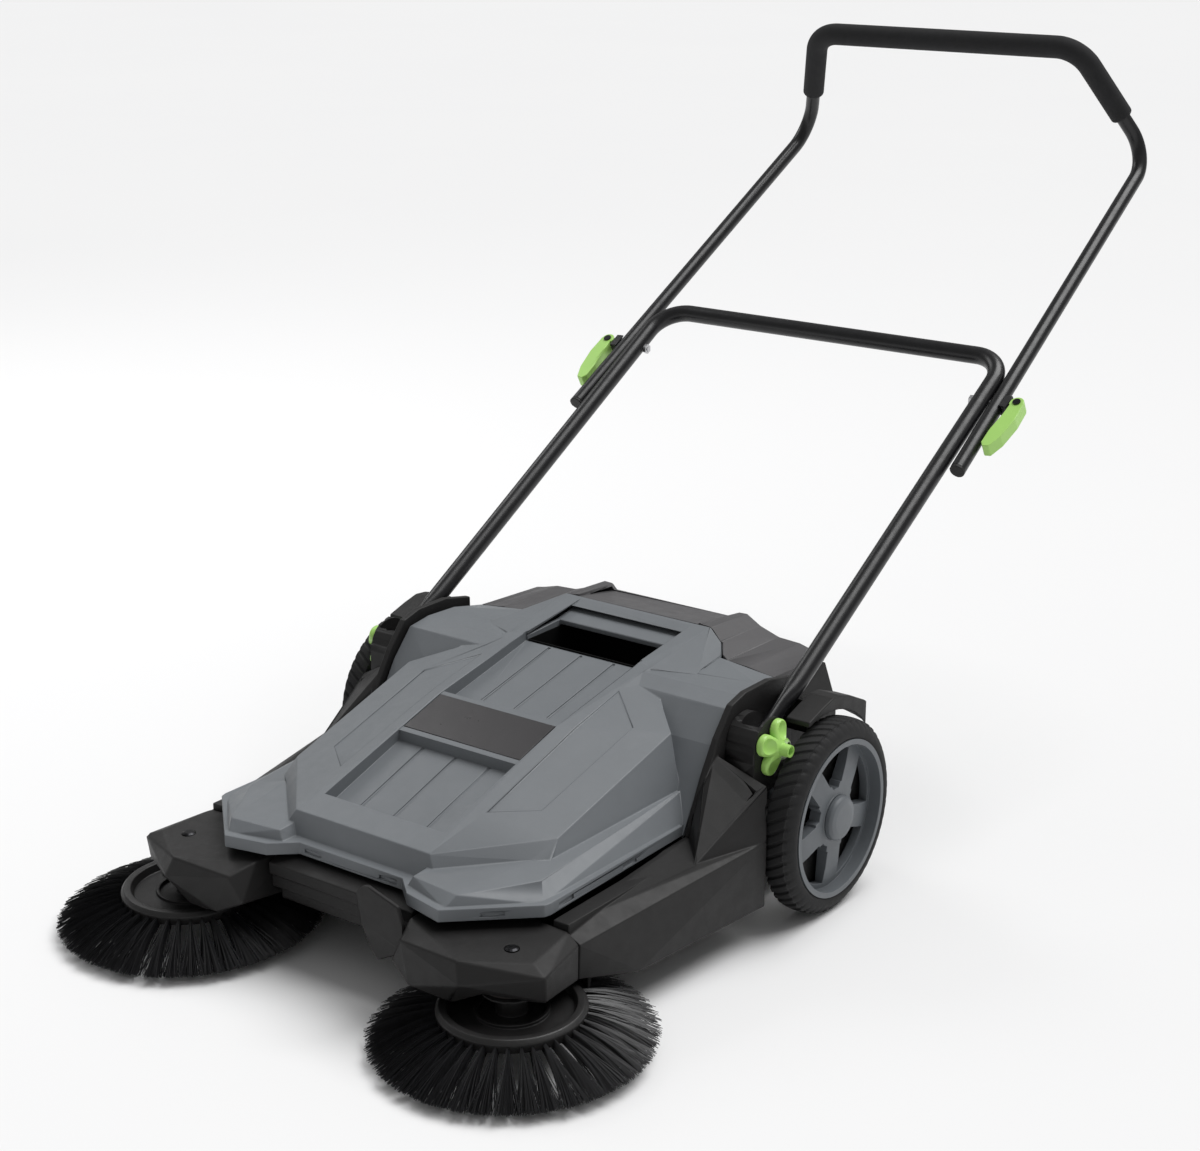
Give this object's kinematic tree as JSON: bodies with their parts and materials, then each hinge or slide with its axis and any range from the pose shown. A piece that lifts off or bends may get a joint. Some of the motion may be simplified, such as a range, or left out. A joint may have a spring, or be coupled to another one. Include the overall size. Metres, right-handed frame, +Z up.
{
  "type": "push sweeper",
  "caption": "Walk-behind push floor sweeper: belt-driven side brushes under faceted hoods, lift-out debris container with grey lid, rear wheels, and a folding tubular handle with a foam grip.",
  "frame": {"origin": "on the floor, under the middle of the whole object's box (the wheel axle is 0.1202 m in front of it, towards -Y)", "axes": "+Z up, -Y the machine's front with the side brushes, +Y the operator's end with the handle, +X the right-hand side seen from the front"},
  "size_m": [0.75, 1.4495, 0.8968],
  "materials": {
    "lid_grey": "fine-textured moulded polypropylene, blue-grey",
    "chassis_black": "fine-textured moulded polypropylene, charcoal",
    "cover_grey": "fine-textured moulded polypropylene, warm grey",
    "rim_grey": "satin moulded plastic, blue-grey",
    "tyre_rubber": "matte black rubber with a ribbed tread",
    "bristle_black": "stiff black synthetic bristle tufts",
    "brush_hub_black": "satin black moulded plastic",
    "tube_paint": "gloss black powder coat",
    "foam_black": "matte closed-cell foam",
    "lever_green": "lime green satin-gloss moulded plastic",
    "belt_rubber": "smooth round polyurethane belt",
    "nylon_white": "natural nylon",
    "steel": "zinc-plated steel",
    "black_steel": "black-oxide steel",
    "plate_dark": "plain smooth dark plate"
  },
  "bodies": {
    "base": {"chassis_shell": "chassis_black", "front_bar": "chassis_black", "rear_cover": "cover_grey", "brush_housing_right": "chassis_black", "brush_housing_left": "chassis_black", "handle_bracket_right": "chassis_black", "handle_bracket_left": "chassis_black", "pivot_bolt_right": "steel", "pivot_bolt_left": "steel", "stub_axle_right": "steel", "stub_axle_left": "steel", "axle_bush_right": "nylon_white", "axle_bush_left": "nylon_white", "spindle_bearing_right": "steel", "spindle_bearing_left": "steel", "housing_screw_right": "black_steel", "housing_screw_left": "black_steel", "drive_belt_right": "belt_rubber", "drive_belt_left": "belt_rubber"},
    "container": {"container_lid": "lid_grey", "debris_tub": "chassis_black", "label_plate": "plate_dark"},
    "lower_handle": {"lower_handle_tube": "tube_paint"},
    "upper_handle": {"upper_handle_tube": "tube_paint", "foam_grip": "foam_black", "tube_end_plug_right": "chassis_black", "tube_end_plug_left": "chassis_black", "clamp_bolt_right": "steel", "clamp_bolt_left": "steel", "clamp_nut_right": "steel", "clamp_nut_left": "steel", "cam_saddle_right": "chassis_black", "cam_saddle_left": "chassis_black"},
    "lever_right": {"cam_lever_right": "lever_green", "lever_pin_right": "black_steel"},
    "lever_left": {"cam_lever_left": "lever_green", "lever_pin_left": "black_steel"},
    "knob_right": {"star_knob_right": "lever_green"},
    "knob_left": {"star_knob_left": "lever_green"},
    "wheel_right": {"wheel_rim_right": "rim_grey", "wheel_tyre_right": "tyre_rubber", "hub_cap_right": "rim_grey", "wheel_pulley_right": "nylon_white"},
    "wheel_left": {"wheel_rim_left": "rim_grey", "wheel_tyre_left": "tyre_rubber", "hub_cap_left": "rim_grey", "wheel_pulley_left": "nylon_white"},
    "brush_right": {"brush_hub_right": "brush_hub_black", "brush_bristles_right": "bristle_black", "brush_spindle_right": "steel", "brush_pulley_right": "nylon_white"},
    "brush_left": {"brush_hub_left": "brush_hub_black", "brush_bristles_left": "bristle_black", "brush_spindle_left": "steel", "brush_pulley_left": "nylon_white"}
  },
  "joints": [
    {"name": "container_lift", "type": "slide", "parent": "base", "child": "container", "axis": [0, 0, 1], "range_m": [0, 0.2]},
    {"name": "handle_tilt", "type": "hinge", "parent": "base", "child": "lower_handle", "pos_m": [0, -0.1898, 0.2078], "axis": [-1, 0, 0], "range_deg": [-60, 0]},
    {"name": "handle_fold", "type": "hinge", "parent": "lower_handle", "child": "upper_handle", "pos_m": [0, 0.30173, 0.49044], "axis": [-1, 0, 0], "range_deg": [-140, 0]},
    {"name": "lever_right_open", "type": "hinge", "parent": "upper_handle", "child": "lever_right", "pos_m": [0.3043, 0.30173, 0.49044], "axis": [0, -0.4985, 0.8669], "range_deg": [0, 90]},
    {"name": "lever_left_open", "type": "hinge", "parent": "upper_handle", "child": "lever_left", "pos_m": [-0.3043, 0.30173, 0.49044], "axis": [0, 0.4985, -0.8669], "range_deg": [0, 90]},
    {"name": "knob_right_turn", "type": "hinge", "parent": "base", "child": "knob_right", "pos_m": [0, -0.1898, 0.2078], "axis": [1, 0, 0], "range_deg": [0, 180]},
    {"name": "knob_left_turn", "type": "hinge", "parent": "base", "child": "knob_left", "pos_m": [0, -0.1898, 0.2078], "axis": [-1, 0, 0], "range_deg": [0, 180]},
    {"name": "wheel_right_roll", "type": "hinge", "parent": "base", "child": "wheel_right", "pos_m": [0, -0.1202, 0.1113], "axis": [1, 0, 0], "continuous": true},
    {"name": "wheel_left_roll", "type": "hinge", "parent": "base", "child": "wheel_left", "pos_m": [0, -0.1202, 0.1113], "axis": [1, 0, 0], "continuous": true},
    {"name": "brush_right_spin", "type": "hinge", "parent": "base", "child": "brush_right", "pos_m": [0.2255, -0.5749, 0.00387], "axis": [0, -0.0262, 0.9997], "continuous": true},
    {"name": "brush_left_spin", "type": "hinge", "parent": "base", "child": "brush_left", "pos_m": [-0.2255, -0.5749, 0.00387], "axis": [0, -0.0262, 0.9997], "continuous": true}
  ],
  "couplings": [
    {"joint": "brush_right_spin", "follows": "wheel_right_roll", "ratio": -0.78571},
    {"joint": "brush_left_spin", "follows": "wheel_left_roll", "ratio": 0.78571}
  ]
}
